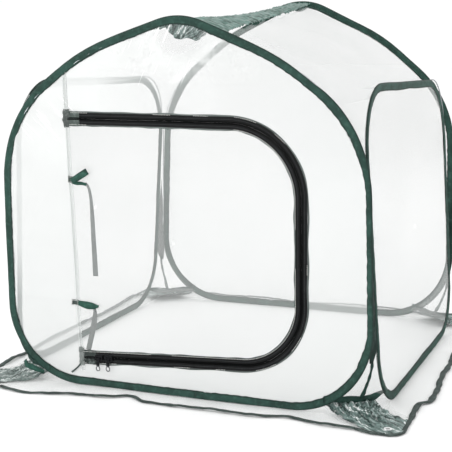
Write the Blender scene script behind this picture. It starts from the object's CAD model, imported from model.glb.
import math
import random

import bmesh
import bpy
import numpy as np
from mathutils import Matrix, Vector


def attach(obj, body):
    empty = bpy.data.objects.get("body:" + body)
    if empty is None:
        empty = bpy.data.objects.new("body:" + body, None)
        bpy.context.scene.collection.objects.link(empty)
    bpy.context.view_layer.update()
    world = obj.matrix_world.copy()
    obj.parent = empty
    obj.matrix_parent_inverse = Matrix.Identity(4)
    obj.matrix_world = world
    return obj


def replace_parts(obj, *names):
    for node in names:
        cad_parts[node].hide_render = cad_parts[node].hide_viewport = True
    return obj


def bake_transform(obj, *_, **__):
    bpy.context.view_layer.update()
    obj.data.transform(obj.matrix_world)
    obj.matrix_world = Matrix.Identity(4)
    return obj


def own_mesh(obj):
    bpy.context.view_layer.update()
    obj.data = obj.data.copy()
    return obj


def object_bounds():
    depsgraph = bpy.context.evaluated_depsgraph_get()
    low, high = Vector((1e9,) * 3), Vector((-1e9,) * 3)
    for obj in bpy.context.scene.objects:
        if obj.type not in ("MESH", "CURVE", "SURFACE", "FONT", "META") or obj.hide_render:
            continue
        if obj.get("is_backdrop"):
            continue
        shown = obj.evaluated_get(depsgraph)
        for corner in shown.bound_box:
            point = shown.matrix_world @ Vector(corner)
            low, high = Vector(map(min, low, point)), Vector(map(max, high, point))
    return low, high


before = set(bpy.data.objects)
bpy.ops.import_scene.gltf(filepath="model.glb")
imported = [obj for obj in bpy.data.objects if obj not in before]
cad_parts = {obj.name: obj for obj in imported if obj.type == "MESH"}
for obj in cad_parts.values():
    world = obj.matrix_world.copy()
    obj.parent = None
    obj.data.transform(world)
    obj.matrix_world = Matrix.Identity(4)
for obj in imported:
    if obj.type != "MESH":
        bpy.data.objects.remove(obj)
size_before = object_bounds()

TAU = 2 * math.pi
MM = 0.001

# ---- driving dimensions, in metres, as in the CAD ----
HALF_DEPTH = 0.348
FOOT = (0.357, 0.008, 0.145)
EAVE = (0.350, 0.502, 0.227)
FRONT_PEAK = (0.007, 0.694)
BACK_PEAK = (0.0, 0.730)
PEAK_RADIUS = 0.119
# How far a house hoop's shoulders lie to the right, and the bulge of its left and right slopes.
FRONT_SLANT = {-1: (-0.0045, 0.033), 1: (-0.0045, 0.024)}
BACK_SLANT = {-1: (0.0, 0.028), 1: (-0.012, 0.026)}
SLOPE_RADIUS = 0.400
SIDE_X = 0.3687
SIDE_LEAN = math.atan(0.0608)
SIDE_FRONT = {"foot": -0.311, "top": -0.329, "height": 0.571, "radii": (0.103, 0.104)}
SIDE_BACK = {"foot": 0.307, "top": 0.313, "height": 0.547, "radii": (0.106, 0.135)}
SLEEVE = 0.0077
SKIRT = 0.056
SKIRT_ACROSS = 0.346
SKIRT_ALONG = 0.319
RIDGE_FRONT = 0.095
RIDGE_BACK = 0.024
RIDGE_SAG = 0.009
RIDGE_PINCH = 0.24
ROOF_CORNER_DROP = 0.022
ROOF_MEETS_HOOP = 0.540
EYELET = (0.399, 0.387)
ZIP_CORNERS = {"left": 0.0564, "right": 0.0807, "top": 0.509, "x": 0.232}
ZIP_RADII = (0.114, 0.132)
ZIP_START = 0.004
# The hinge seam: where it would meet the ground, and how far it leans to the left as it rises.
SEAM_FOOT = -0.203
SEAM_LEAN = 0.0373
SEAM_ENDS = (0.030, 0.600)
SEAM_STRIP = 0.0085
# The zip, across from its middle, and how far its layers stand in front of the film.
TAPE_EDGES = (0.00004, 0.0112)
BINDING_EDGES = (0.0104, 0.0136)
TAPE_FORWARD = 0.0008
BINDING_FORWARD = 0.0006
TEETH_FORWARD = 0.0019
TEETH_PITCH = 0.0022
TEETH_FROM_MIDDLE = 0.0013
TEETH_SIZE = (0.0024, 0.86 * TEETH_PITCH, 0.0018)
FILM_FROM_ZIP = 0.004
SLIDER_X = {"left": -0.169, "right": -0.148}
SLIDER_HALF = (0.0085, 0.0055)
SLIDER_PLATES = (("back_plate", 0.0022, 0.0032), ("front_plate", 0.0044, 0.0056))
SLIDER_CORE = (0.0030, 0.0046)
# The corners: the tip of the flap, its band, its hem and the strip that joins the sleeves.
CORNER_TIP = (0.4270, 0.4130)
CORNER_TURN = 0.3740
BAND_WIDTH = 0.0115
BAND_FOOT = 0.028
CORNER_HEM = 0.0080
FLAP_FOOT = 0.021
GUSSET_FOOT = 0.022
PEG_HOLE = 0.0042
# Where a corner's cloth stops following the one wall and starts following the other.
BLEND_HOUSE = (0.352, 0.345)
BLEND_SIDE = (0.366, 0.318)
BLEND_HEIGHT = 0.3
JOINT_FOOT = 0.098
JOINT_RISE = 0.200
# How thick each doubled band of cloth is.
TIE_THICK = 0.0011
HEM_THICK = 0.0018
KNOT_THICK = 0.0022
BAND_THICK = 0.0024
PIPING_THICK = 0.0028
OUTLINE_STEP = 0.006


# ---- paths in a wall's plane ----
def rounded_path(corners, closed=True, step=math.radians(4)):
    """Points along straight runs joined by tangent arcs. Corners are (x, z, radius)."""
    points = []
    for i, (x, z, radius) in enumerate(corners):
        here = np.array((x, z))
        if not closed and i in (0, len(corners) - 1):
            points.append(here)
            continue
        before = np.array(corners[i - 1][:2])
        after = np.array(corners[(i + 1) % len(corners)][:2])
        arriving = (here - before) / np.linalg.norm(here - before)
        leaving = (after - here) / np.linalg.norm(after - here)
        cross = arriving[0] * leaving[1] - arriving[1] * leaving[0]
        turn = math.atan2(cross, arriving @ leaving)
        start = here - arriving * radius * math.tan(abs(turn) / 2)
        normal = np.array((-arriving[1], arriving[0])) * math.copysign(1, turn)
        centre = start + normal * radius
        count = max(1, round(abs(turn) / step))
        for k in range(count + 1):
            angle = turn * k / count
            c, s = math.cos(angle), math.sin(angle)
            d = start - centre
            points.append(centre + np.array((d[0] * c - d[1] * s, d[0] * s + d[1] * c)))
    return np.array(points)


def travel(path):
    """How far along the path each of its points is."""
    return np.concatenate([[0], np.cumsum(np.linalg.norm(np.diff(path, axis=0), axis=1))])


def heading(path, closed):
    """The direction of travel at each point, from its two neighbours."""
    if closed:
        return np.roll(path, -1, 0) - np.roll(path, 1, 0)
    return np.gradient(path, axis=0)


def resample(path, spacing, closed):
    """The same path with evenly spaced points, in two or three dimensions."""
    if closed:
        path = np.vstack([path, path[:1]])
    travelled = travel(path)
    count = max(2, round(travelled[-1] / spacing))
    wanted = np.linspace(0, travelled[-1], count + 1)
    if closed:
        wanted = wanted[:-1]
    return np.stack([np.interp(wanted, travelled, path[:, k]) for k in range(path.shape[1])], 1)


def path_length(path, closed=False):
    if closed:
        path = np.vstack([path, path[:1]])
    return float(np.linalg.norm(np.diff(path, axis=0), axis=1).sum())


def outward(path, closed):
    """The unit normal at each point, to the right of the direction of travel."""
    run = heading(path, closed)
    normal = np.stack([run[:, 1], -run[:, 0]], 1)
    return normal / np.linalg.norm(normal, axis=1)[:, None]


def area_of(path):
    x, z = path.T
    return float(abs((x * np.roll(z, -1) - z * np.roll(x, -1)).sum()) / 2)


def house_outline(peak, slant):
    """The front or back hoop: upright sides, rounded shoulders and two bulging slopes up to its peak."""

    def slope(side):
        shoulder = side * EAVE[0] + slant[side][0]
        run = np.array((peak[0] - shoulder, peak[1] - EAVE[1]))
        out = np.array((run[1] * side, -run[0] * side))
        out *= slant[side][1] / np.linalg.norm(out)
        return (shoulder + run[0] / 2 + out[0], EAVE[1] + run[1] / 2 + out[1], SLOPE_RADIUS)

    foot_left, foot_right = (-FOOT[0], *FOOT[1:]), FOOT
    eave_left, eave_right = ((side * EAVE[0] + slant[side][0], *EAVE[1:]) for side in (-1, 1))
    corners = [foot_left, foot_right, eave_right, slope(1), (*peak, PEAK_RADIUS), slope(-1), eave_left]
    return resample(rounded_path(corners), OUTLINE_STEP, True)


def side_outline(front_side):
    """The side hoop, with its front edge on the left (-1) or on the right (1)."""
    front, back = SIDE_FRONT, SIDE_BACK
    corners = [
        (-front_side * front["foot"], FOOT[1], front["radii"][0]),
        (-front_side * back["foot"], FOOT[1], back["radii"][0]),
        (-front_side * back["top"], back["height"], back["radii"][1]),
        (-front_side * front["top"], front["height"], front["radii"][1]),
    ]
    if front_side > 0:
        corners.reverse()
    return resample(rounded_path(corners), OUTLINE_STEP, True)


OUTLINES = {
    "front": house_outline(FRONT_PEAK, FRONT_SLANT),
    "right": side_outline(-1),
    "back": house_outline(BACK_PEAK, BACK_SLANT),
    "left": side_outline(1),
}


def furthest(outline, level, axis, side=1):
    """Where a closed outline crosses a level of one axis: the place furthest out along the other."""
    best = 0.0
    for a, b in zip(outline, np.roll(outline, -1, 0)):
        if (a[axis] - level) * (b[axis] - level) <= 0 and a[axis] != b[axis]:
            start, stop = a[1 - axis], b[1 - axis]
            place = start + (stop - start) * (level - a[axis]) / (b[axis] - a[axis])
            if place * side > best * side:
                best = place
    return best


def crossing(outline, height, side):
    """Where a closed outline crosses a height, on its left (-1) or right (1)."""
    return furthest(outline, height, 1, side)


def top_at(outline, x):
    """The height of a closed outline's upper edge over x."""
    return furthest(outline, x, 0)


# ---- walls: each has its own frame, along the wall, inwards and up ----
def wall(turn, distance, lean=0.0):
    """A function that places points given along the wall, inwards from it and up."""
    c, s = math.cos(turn), math.sin(turn)
    cl, sl = math.cos(lean), math.sin(lean)

    def place(along, inwards, up):
        y = inwards * cl + up * sl
        z = -inwards * sl + up * cl
        return np.stack([along * c - y * s + distance * s, along * s + y * c - distance * c, z], -1)

    return place


WALLS = {
    "front": wall(0, HALF_DEPTH),
    "right": wall(math.pi / 2, SIDE_X, SIDE_LEAN),
    "back": wall(math.pi, HALF_DEPTH),
    "left": wall(-math.pi / 2, SIDE_X, SIDE_LEAN),
}


# ---- seeded unevenness ----
def random_waves(seed, wavelength, count, lengths, ahead=0.0, turns=(0, TAU)):
    """Each wave's slope along, slope across and phase. Its heading is ahead, turned by some of turns."""
    rng = random.Random(seed)
    terms = []
    for _ in range(count):
        angle = ahead + rng.uniform(*turns)
        k = TAU / (wavelength * rng.uniform(*lengths))
        terms.append((k * math.cos(angle), k * math.sin(angle), rng.uniform(0, TAU)))
    return terms


def ripple(seed, wavelength, count=7):
    """A smooth random height of about one unit over two coordinates in metres."""
    terms = random_waves(seed, wavelength, count, (0.7, 1.6))

    def height(x, y=0.0):
        return sum(np.sin(a * x + b * y + c) for a, b, c in terms) / math.sqrt(count)

    return height


def creases(seed, wavelength, count=5, **aim):
    """Sharp folds: random triangle waves, in any direction or close to a given one."""
    terms = random_waves(seed, wavelength, count, (0.6, 1.7), **aim)

    def height(x, y=0.0):
        waves = [np.arcsin(np.sin(a * x + b * y + c)) * 2 / math.pi for a, b, c in terms]
        return sum(waves) / math.sqrt(count)

    return height


def smooth(t):
    t = np.clip(t, 0, 1)
    return t * t * (3 - 2 * t)


# ---- meshes ----
def place_in_scene(name, data):
    obj = bpy.data.objects.new(name, data)
    bpy.context.scene.collection.objects.link(obj)
    return obj


def mesh_object(name, points, faces, uvs, material, slot=None):
    """uvs has one pair per face corner, in metres along and across the piece."""
    mesh = bpy.data.meshes.new(name)
    mesh.from_pydata(points.tolist(), [], faces.tolist())
    layer = mesh.uv_layers.new(name="UVMap")
    layer.data.foreach_set("uv", np.asarray(uvs, np.float32).ravel())
    mesh.polygons.foreach_set("use_smooth", np.ones(len(mesh.polygons), bool))
    mesh.materials.append(material)
    mesh.update()
    obj = place_in_scene(name, mesh)
    return obj


def grid(name, points, material, slot=None, closed=False, around=False, uv=None):
    """A sheet or tube from a table of points[i, j].
    closed joins its last row to its first, and around does the same with its columns."""
    rows, columns = points.shape[:2]
    if uv is None:
        along = np.zeros((rows, columns))
        along[1:] = np.cumsum(np.linalg.norm(np.diff(points, axis=0), axis=2), 0).mean(1)[:, None]
        across = np.zeros((rows, columns))
        across[:, 1:] = np.cumsum(np.linalg.norm(np.diff(points, axis=1), axis=2), 1)
        uv = np.stack([along, across], -1)
    faces = []
    uvs = []
    step_u = uv[1, 0, 0] - uv[0, 0, 0]
    step_v = uv[0, 1, 1] - uv[0, 0, 1]
    for i in range(rows if closed else rows - 1):
        k = (i + 1) % rows
        for j in range(columns if around else columns - 1):
            m = (j + 1) % columns
            faces.append((i * columns + j, k * columns + j, k * columns + m, i * columns + m))
            next_u = uv[k, j, 0] if k else uv[i, j, 0] + step_u
            next_v = uv[i, m, 1] if m else uv[i, j, 1] + step_v
            low, high = (uv[i, j, 0], uv[i, j, 1]), (next_u, next_v)
            uvs.extend([low, (high[0], low[1]), high, (low[0], high[1])])
    return mesh_object(name, points.reshape(-1, 3), np.array(faces), uvs, material, slot)


def ribbon(name, line, across, width, thickness, material, slot=None, closed=False, folded=False):
    """A flat band with rounded edges along a line of points. width may vary along it.
    A folded one is bound cloth: one layer, open along the edge where it is sewn on."""
    line = np.asarray(line, float)
    across = np.broadcast_to(np.asarray(across, float), line.shape)
    run = heading(line, closed)
    normal = np.cross(run, across)
    normal /= np.linalg.norm(normal, axis=1)[:, None]
    side = np.cross(normal, run)
    side /= np.linalg.norm(side, axis=1)[:, None]
    half = np.broadcast_to(np.asarray(width, float) / 2, len(line))[:, None]
    section = [(-1, 0), (-0.93, 0.5), (0, 0.5), (0.93, 0.5), (1, 0), (0.93, -0.5), (0, -0.5), (-0.93, -0.5)]
    if folded:
        section = [(-1, 0.25), *section[1:4], (0.98, 0.25), (1, 0), (0.98, -0.25), *section[5:], (-1, -0.25)]
    columns = [line + side * half * out + normal * thickness * up for out, up in section]
    points = np.stack(columns, 1)
    uv = np.zeros((*points.shape[:2], 2))
    uv[:, :, 0] = travel(line)[:, None]
    uv[:, :, 1] = half * np.array([out for out, _ in section])
    obj = grid(name, points, material, slot, closed, not folded, uv)
    if not closed and not folded:
        cap_ends(obj, len(line), len(section))
    return obj


def cap_ends(obj, rows, columns):
    """Closes the two open ends of a tube made by grid."""
    shape = bmesh.new()
    shape.from_mesh(obj.data)
    shape.verts.ensure_lookup_table()
    for row, order in ((0, 1), (rows - 1, -1)):
        ring = [shape.verts[row * columns + j] for j in range(columns)][::order]
        shape.faces.new(ring)
    bmesh.ops.recalc_face_normals(shape, faces=shape.faces)
    shape.to_mesh(obj.data)
    shape.free()


def disc(name, outline, place, height, material, slot, rings=36, centre=None, hole=None, columns=None):
    """A film inside an outline, or between it and a hole, with height(along, up) inwards."""
    if centre is None:
        centre = outline.mean(0)
    angles = np.linspace(0, TAU, columns or len(outline), endpoint=False)
    outer = at_angles(outline, centre, angles)
    inner = np.tile(centre, (len(angles), 1)) if hole is None else at_angles(hole, centre, angles)
    share = np.linspace(0, 1 if hole is not None else 0.985, rings)
    flat = outer[:, None] + (inner - outer)[:, None] * share[None, :, None]
    x, z = flat[..., 0], flat[..., 1]
    points = place(x, height(x, z), z)
    obj = grid(name, points, material, slot, closed=True, uv=flat)
    return obj


def at_angles(outline, centre, angles):
    """Points of a star-shaped outline in the given directions from its centre."""
    spread = outline - centre
    bearing = np.arctan2(spread[:, 1], spread[:, 0]) % TAU
    order = np.argsort(bearing)
    bearing, spread = bearing[order], spread[order]
    after = np.roll(spread, -1, 0)
    points = []
    for angle in angles:
        k = (np.searchsorted(bearing, angle % TAU, side="right") - 1) % len(bearing)
        ray = np.array((math.cos(angle), math.sin(angle)))
        a, b = spread[k], after[k]
        edge = b - a
        denominator = ray[0] * edge[1] - ray[1] * edge[0]
        reach = (a[0] * edge[1] - a[1] * edge[0]) / denominator
        points.append(centre + ray * reach)
    return np.array(points)


def smooth_line(points, spacing=0.0025):
    """A rounded line through a few guide points, by cutting corners."""
    line = np.asarray(points, float)
    for _ in range(3):
        near = line[:-1] * 0.75 + line[1:] * 0.25
        far = line[:-1] * 0.25 + line[1:] * 0.75
        cut = np.stack([near, far], 1).reshape(-1, line.shape[1])
        line = np.vstack([line[:1], cut, line[-1:]])
    return resample(line, spacing, False)


def studs(name, spots, axis, beside, length, width, height, material, slot=None):
    """Small rounded bars along axis at each spot, all in one mesh: stitches, or a zip's teeth."""
    spots, axis, beside = (np.asarray(v, float) for v in (spots, axis, beside))
    axis = axis / np.linalg.norm(axis, axis=1)[:, None]
    up = np.cross(axis, beside)
    up /= np.linalg.norm(up, axis=1)[:, None]
    side = np.cross(up, axis)
    section = [(1, 0), (0.5, 0.87), (-0.5, 0.87), (-1, 0), (-0.5, -0.87), (0.5, -0.87)]
    rings = []
    for reach, share in ((-0.5, 0.45), (-0.36, 1), (0.36, 1), (0.5, 0.45)):
        middle = spots + axis * length * reach
        for a, b in section:
            rings.append(middle + side * width / 2 * a * share + up * height / 2 * b * share)
    points = np.stack(rings, 1)
    n, total = len(section), points.shape[1]
    pattern = []
    for ring in range(3):
        for k in range(n):
            m = (k + 1) % n
            pattern.append((ring * n + k, ring * n + m, ring * n + n + m, ring * n + n + k))
    faces = []
    for index in range(len(spots)):
        base = index * total
        faces.extend([tuple(base + v for v in face) for face in pattern])
        faces.append(tuple(range(base + n - 1, base - 1, -1)))
        faces.append(tuple(range(base + 3 * n, base + 4 * n)))
    mesh = bpy.data.meshes.new(name)
    mesh.from_pydata(points.reshape(-1, 3).tolist(), [], faces)
    mesh.materials.append(material)
    obj = place_in_scene(name, mesh)
    return obj


def ring_tube(name, centre, first, second, radius, thick, material, slot=None, stretch=1.0):
    """A wire ring about a centre, in the plane of two directions."""
    first, second = np.asarray(first, float), np.asarray(second, float)
    out = np.cross(first, second)
    around = np.linspace(0, TAU, 8, endpoint=False)
    points = []
    for turn in np.linspace(0, TAU, 28, endpoint=False):
        arm = first * math.cos(turn) + second * stretch * math.sin(turn)
        spot = centre + arm * radius
        points.append([spot + thick * (arm * math.cos(a) + out * math.sin(a)) for a in around])
    return grid(name, np.array(points), material, slot, closed=True, around=True)


def bevelled(name, outline, place, low, high, bevel, material, slot=None):
    """A plate with softened edges, from low to high in front of the wall."""
    normal = outward(outline, True)
    if area_of(outline + normal * bevel) < area_of(outline):
        normal = -normal
    rings = []
    for inset, forward in ((1, low), (0, low + bevel), (0, high - bevel), (1, high)):
        flat = outline - normal * bevel * inset
        rings.append(place(flat[:, 0], -forward, flat[:, 1]))
    points = np.stack(rings, 0)
    obj = grid(name, points, material, slot, around=True)
    cap_ends(obj, len(points), points.shape[1])
    return obj


# ---- materials ----
class Shader:
    """A material with one principled surface, and short ways to add nodes to it."""

    def __init__(self, name, roughness=0.5, metallic=0.0, specular=0.5):
        self.material = bpy.data.materials.new(name)
        self.material.use_nodes = True
        self.tree = self.material.node_tree
        self.surface = self.tree.nodes["Principled BSDF"]
        self.surface.inputs["Roughness"].default_value = roughness
        self.surface.inputs["Metallic"].default_value = metallic
        self.surface.inputs["Specular IOR Level"].default_value = specular

    def node(self, kind, inputs=(), **settings):
        made = self.tree.nodes.new("ShaderNode" + kind)
        for key, value in settings.items():
            setattr(made, key, value)
        for key, value in dict(inputs).items():
            if isinstance(value, bpy.types.NodeSocket):
                self.tree.links.new(value, made.inputs[key])
            else:
                made.inputs[key].default_value = value
        return made

    def link(self, value, name):
        self.tree.links.new(value, self.surface.inputs[name])

    def where(self, kind="Object", scale=(1, 1, 1)):
        source = self.node("TexCoord").outputs[kind]
        return self.node("Mapping", {"Vector": source, "Scale": scale}).outputs[0]

    def noise(self, scale, detail=3.0, vector=None):
        vector = vector or self.where()
        made = self.node("TexNoise", {"Vector": vector, "Scale": scale, "Detail": detail})
        return made.outputs["Fac"]

    def wave(self, scale, vector, direction="X", distortion=0.0):
        inputs = {"Vector": vector, "Scale": scale, "Distortion": distortion}
        return self.node("TexWave", inputs, bands_direction=direction).outputs["Fac"]

    def span(self, value, low, high, new_low=0.0, new_high=1.0):
        inputs = {"Value": value, "From Min": low, "From Max": high, "To Min": new_low, "To Max": new_high}
        return self.node("MapRange", inputs).outputs[0]

    def maths(self, operation, a, b=0.0):
        return self.node("Math", {0: a, 1: b}, operation=operation).outputs[0]

    def times(self, a, b):
        return self.maths("MULTIPLY", a, b)

    def plus(self, a, b):
        return self.maths("ADD", a, b)

    def minus(self, a, b):
        return self.maths("SUBTRACT", a, b)

    def mix(self, factor, a, b, blend="MIX"):
        made = self.node("Mix", data_type="RGBA", blend_type=blend)
        for index, value in ((0, factor), (6, a), (7, b)):
            if isinstance(value, bpy.types.NodeSocket):
                self.tree.links.new(value, made.inputs[index])
            else:
                made.inputs[index].default_value = value
        return made.outputs[2]

    def bump(self, height, strength=0.5, distance=MM, normal=None):
        inputs = {"Height": height, "Strength": strength, "Distance": distance}
        if normal is not None:
            inputs["Normal"] = normal
        return self.node("Bump", inputs).outputs[0]


def colour(code, alpha=1.0):
    """A linear colour from a display colour written as hex digits."""
    values = [int(code[i : i + 2], 16) / 255 for i in (0, 2, 4)]
    linear = [v / 12.92 if v <= 0.04045 else ((v + 0.055) / 1.055) ** 2.4 for v in values]
    return (*linear, alpha)


def film_material(name, alpha=0.31, spread=0.012, crumple=0.2, tint="d0d2d1", deep="c9cccb", veil=None):
    """Clear soft vinyl: a faint white veil that is denser in its folds, with a wet-looking sheen."""
    s = Shader(name, roughness=0.28, specular=0.3)
    broad = s.noise(5.0, 2.0)
    fine = s.noise(30.0, 3.0)
    shade = s.mix(s.span(broad, 0.35, 0.7), colour(tint), colour(deep))
    clear = s.span(broad, 0.3, 0.7, alpha - spread, alpha + spread)
    if veil is not None:
        haze, glint = veil(s)
        shade = s.mix(haze, shade, colour("d4d6d5"))
        shade = s.mix(glint, shade, colour("ffffff"))
        clear = s.plus(clear, s.times(haze, 0.45))
        clear = s.plus(clear, s.times(glint, 0.5))
    s.link(shade, "Base Color")
    s.link(clear, "Alpha")
    s.link(s.bump(fine, 0.25 * crumple, 2 * MM), "Normal")
    return s.material


def near_spot(s, x, z, centre, radius, inner):
    """1 within inner times the radius of a spot in the front's plane, 0 beyond the radius."""
    across = s.minus(x, centre[0])
    up = s.minus(z, centre[1])
    square = s.plus(s.times(across, across), s.times(up, up))
    return s.span(square, radius**2, (inner * radius) ** 2)


def front_veil(s):
    """More haze towards the hinge side of the front, and bright creases under its peak and shoulder."""
    x, _, z = s.node("SeparateXYZ", {0: s.where()}).outputs
    left = s.times(s.span(x, -0.04, -0.16), s.span(z, 0.12, 0.26))
    peak = s.times(s.span(z, 0.575, 0.610), s.span(x, 0.16, 0.11))
    peak = s.times(peak, s.span(s.noise(36.0, 2.0), 0.62, 0.50, 0.35, 1.0))
    peak = s.times(peak, s.minus(1.0, near_spot(s, x, z, (0.012, 0.690), 0.072, 0.6)))
    haze = s.maths("MAXIMUM", s.maths("MAXIMUM", left, peak), s.span(z, 0.46, 0.06, 0, 0.42))
    window = near_spot(s, x, z, (0.010, 0.668), 0.056, 0.6)
    haze = s.minus(haze, s.times(window, 0.75))
    glints = []
    for turn, centre, radius in ((-0.46, (-0.035, 0.64), 0.085), (0.82, (-0.285, 0.52), 0.080)):
        source = s.node("TexCoord").outputs["Object"]
        leaning = s.node("Mapping", {"Vector": source, "Rotation": (0, turn, 0)}).outputs[0]
        stretched = s.node("Mapping", {"Vector": leaning, "Scale": (1.0, 1.0, 0.06)}).outputs[0]
        streaks = s.noise(170.0, 2.0, stretched)
        near = near_spot(s, x, z, centre, radius, 0.5)
        glints.append(s.times(s.span(streaks, 0.645, 0.69), near))
    return haze, s.maths("MAXIMUM", *glints)


def roof_veil(s):
    """The roof's film thins out where it goes under the back hoop's sleeve."""
    y = s.node("SeparateXYZ", {0: s.where()}).outputs[1]
    return s.span(y, 0.290, 0.314, 0, -0.62), 0.0


def woven_material(name, base, dark, light, stitch_at=None, edge=None, thread="14261f", pitch=1.4 * MM):
    """Polyester taffeta: a fine weave, uneven colour, worn edges and a line of stitches."""
    s = Shader(name, roughness=0.72, specular=0.35)
    uv = s.where("UV")
    warp = s.wave(TAU / pitch / 20 * 3.2, uv, "X")
    weft = s.wave(TAU / pitch / 20 * 3.2, uv, "Y")
    weave = s.times(warp, weft)
    cloudy = s.noise(38.0, 4.0)
    shade = s.mix(s.span(cloudy, 0.3, 0.72), colour(dark), colour(base))
    shade = s.mix(s.span(s.noise(120.0, 2.0), 0.52, 0.78, 0, 0.55), shade, colour(light))
    shade = s.mix(s.span(weave, 0, 1, 0.12, 0), shade, colour("0f1f1b"))
    height = weave
    if edge is not None:
        across = s.maths("ABSOLUTE", s.node("SeparateXYZ", {0: uv}).outputs[1])
        shade = s.mix(s.span(across, 0.62 * edge, 0.98 * edge, 0, 0.8), shade, colour("14231f"))
    if stitch_at is not None:
        across = s.node("SeparateXYZ", {0: uv}).outputs
        distance = s.maths("ABSOLUTE", s.minus(across[1], stitch_at))
        row = s.span(distance, 0.35 * MM, 0.7 * MM, 1, 0)
        dash = s.span(s.maths("SINE", s.times(across[0], TAU / (3.2 * MM))), -0.4, 0.1)
        stitch = s.times(row, dash)
        shade = s.mix(stitch, shade, colour(thread))
        height = s.plus(weave, s.times(stitch, 1.5))
    s.link(shade, "Base Color")
    normal = s.bump(s.noise(60.0, 3.0), 0.35, 2 * MM)
    s.link(s.bump(height, 0.3, 0.25 * MM, normal), "Normal")
    return s.material


def metal_material(name, base, dark, roughness):
    s = Shader(name, roughness=roughness, metallic=1.0)
    wear = s.noise(300.0, 4.0)
    s.link(s.mix(s.span(wear, 0.4, 0.7), colour(base), colour(dark)), "Base Color")
    s.link(s.bump(wear, 0.15, 0.2 * MM), "Normal")
    return s.material


def zip_tape_material():
    """Black knitted tape: ribs along it, a bright stitch line and dull edges."""
    s = Shader("zip_tape_black", roughness=0.7, specular=0.2)
    uv = s.where("UV")
    parts = s.node("SeparateXYZ", {0: uv}).outputs
    ribs = s.maths("SINE", s.times(parts[1], TAU / (1.9 * MM)))
    mottled = s.noise(90.0, 4.0)
    shade = s.mix(s.span(mottled, 0.3, 0.7), colour("060707"), colour("151617"))
    shade = s.mix(s.span(ribs, 0.4, 1.0, 0, 0.3), shade, colour("2a2d2e"))
    s.link(shade, "Base Color")
    cross = s.maths("SINE", s.times(parts[0], TAU / (0.9 * MM)))
    s.link(s.bump(s.plus(ribs, s.times(cross, 0.4)), 0.5, 0.3 * MM), "Normal")
    return s.material


def crumple_material(name, stretch, deep="0d211d", dark="223b36", light="839793", shine=0.9):
    """Green cloth under crumpled clear film: dark and silvery creases that fan out from the band."""
    s = Shader(name, roughness=0.35, specular=0.6)
    uv = s.where("UV", (*stretch, 1.0))
    bent = s.node("TexNoise", {"Vector": uv, "Scale": 0.6, "Detail": 2.0}).outputs[1]
    fan = s.node("Mix", {0: 0.55, 4: uv, 5: bent}, data_type="VECTOR").outputs[1]
    folds = s.noise(3.8, 4.0, fan)
    fine = s.noise(170.0, 4.0)
    shade = s.mix(s.span(folds, 0.42, 0.58), colour(dark), colour(light))
    shade = s.mix(s.span(fine, 0.35, 0.65, 0, 0.45), shade, colour("557069"))
    lit = s.times(s.span(folds, 0.585, 0.63), s.span(fine, 0.38, 0.52))
    shut = s.span(folds, 0.44, 0.38)
    shade = s.mix(s.times(lit, shine), shade, colour("f4f7f6"))
    shade = s.mix(s.times(shut, 0.7), shade, colour(deep))
    s.link(shade, "Base Color")
    s.link(s.bump(s.plus(folds, s.times(fine, 0.3)), 0.6, 3 * MM), "Normal")
    return s.material


def thread_material(name, base, dark, specular=0.4, roughness=0.6):
    s = Shader(name, roughness=roughness, specular=specular)
    twist = s.wave(900.0, s.where(), "DIAGONAL")
    s.link(s.mix(twist, colour(base), colour(dark)), "Base Color")
    return s.material


FILM = film_material("clear_film_wall")
FRONT_FILM = film_material("clear_film_front", alpha=0.40, tint="d6d8d7", deep="d1d4d3", veil=front_veil)
ROOF_FILM = film_material("clear_film_roof", alpha=0.29, spread=0.03, crumple=0.7, veil=roof_veil)
LOOSE = film_material("clear_film_loose", alpha=0.27, spread=0.03, crumple=0.7, tint="dcdedd", deep="ccd0ce")
EDGE_FILM = film_material("film_edge", alpha=0.88, spread=0.1, crumple=1.2, tint="646d6a", deep="2c3532")
SLEEVE_GREEN = woven_material("woven_green", "284d43", "17342c", "42655b", stitch_at=-5.6 * MM, edge=SLEEVE)
HEM_GREEN = woven_material("hem_green", "414e4a", "2a3532", "6c7a75")
JOINT_GREEN = woven_material("joint_green", "17332c", "0b1d19", "2e4d44")
BAND_GREEN = woven_material("band_green", "264a41", "122a24", "486358")
RIDGE_GREEN = crumple_material("ridge_green", (60.0, 7.0), "24443b", "45695e", "71928a", 0.08)
PATCH_TEAL = crumple_material("crumpled_teal", (14.0, 85.0))
PATCH_SILVER = crumple_material("crumpled_silver", (14.0, 85.0), "1c2c29", "566460", "a7b0ad")
GATHER_GREEN = crumple_material("gathered_green", (30.0, 110.0))
TIE_GREEN = woven_material("tie_green", "26574a", "17392f", "47796a", stitch_at=4.4 * MM)
STRAP_GREY = woven_material("strap_grey", "4c5553", "39413f", "646d6a")
TAB_GREY = woven_material("tab_grey", "59645f", "323c39", "8b9592")
TAB_DARK = woven_material("tab_dark", "363f3c", "171c1a", "8b9592")
FRILL = film_material("frill", alpha=0.9, spread=0.09, crumple=1.2, tint="858c89", deep="303835")
STEEL = metal_material("spring_steel", "9a9da0", "6f7376", 0.35)
EYELET_WHITE = metal_material("eyelet_white", "ffffff", "dfe2e1", 0.55)
PULL_METAL = metal_material("pull_metal", "6b6e70", "3a3c3e", 0.35)
BLACK_METAL = metal_material("slider_black", "2a2b2d", "141516", 0.4)
TAPE_BLACK = zip_tape_material()
COIL_BLACK = thread_material("zip_coil_black", "050606", "0f1011", 0.08, 0.9)
WHITE_THREAD = thread_material("thread_white", "e6e6e2", "b9bab6")
DARK_THREAD = thread_material("thread_dark", "37403d", "1e2422")
SEAM_THREAD = thread_material("thread_zip", "3c4042", "232527")
SEAM_WHITE = thread_material("thread_seam", "e9ecea", "cdd2d0")
SEAM_FILM = film_material("film_doubled", alpha=0.2, spread=0.03, tint="d0d3d2", deep="c0c5c3")


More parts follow.
